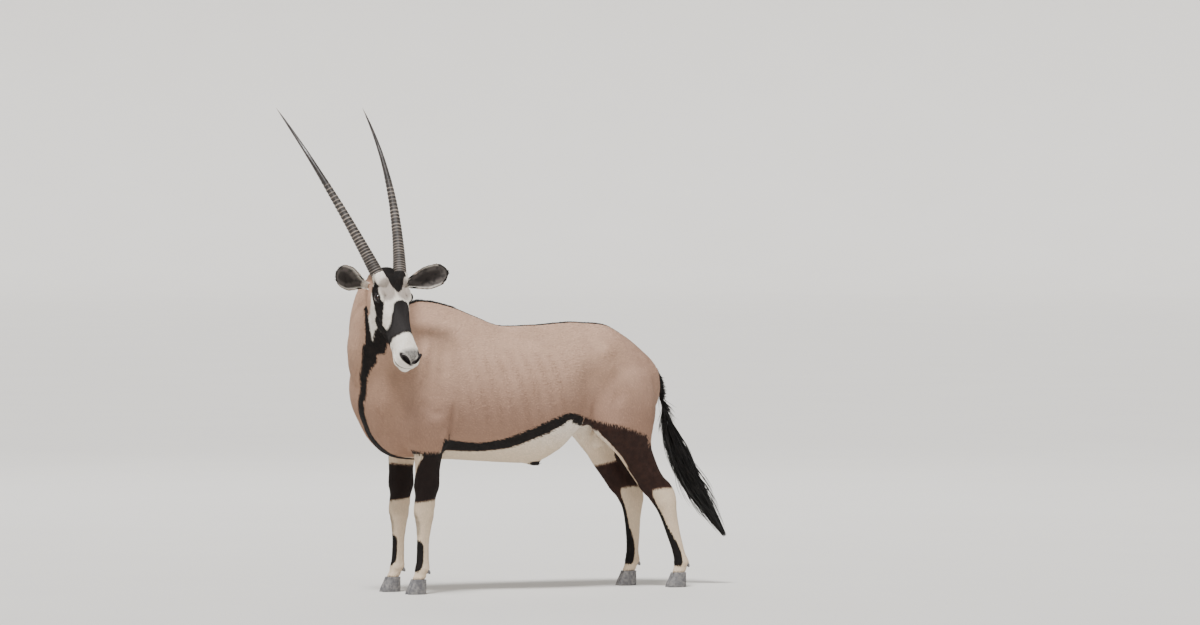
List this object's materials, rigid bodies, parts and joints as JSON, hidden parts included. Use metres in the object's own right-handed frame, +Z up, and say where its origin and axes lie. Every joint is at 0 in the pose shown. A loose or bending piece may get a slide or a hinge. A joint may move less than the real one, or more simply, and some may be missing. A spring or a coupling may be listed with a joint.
{
  "type": "gemsbok, life-size standing model",
  "caption": "Life-size standing antelope with long ringed horns, head turned back to its left, masked face and tasselled tail.",
  "frame": {"origin": "on the floor, at the middle of the box round the whole model", "axes": "+Z up, the trunk faces -X, the animal's left side faces -Y"},
  "size_m": [1.9186, 0.7578, 1.9929],
  "materials": {
    "coat": "short flat hair, fawn-taupe with dark brown and white markings",
    "tassel": "long black tail hair, soft sheen",
    "horn": "ringed dark keratin, polished towards the tips",
    "hoof": "worn dark grey keratin",
    "eye": "wet, very dark brown"
  },
  "bodies": {
    "root": {"claw_fore_left_inner": "hoof", "claw_fore_left_outer": "hoof", "claw_fore_right_inner": "hoof", "claw_fore_right_outer": "hoof", "claw_hind_left_inner": "hoof", "claw_hind_left_outer": "hoof", "claw_hind_right_inner": "hoof", "claw_hind_right_outer": "hoof", "ear_left": "coat", "ear_right": "coat", "eye_left": "eye", "eye_right": "eye", "head": "coat", "horn_left": "horn", "horn_right": "horn", "leg_fore_left": "coat", "leg_fore_right": "coat", "leg_hind_left": "coat", "leg_hind_right": "coat", "neck": "coat", "tail_dock": "coat", "tail_tassel": "tassel", "torso": "coat"}
  },
  "joints": []
}
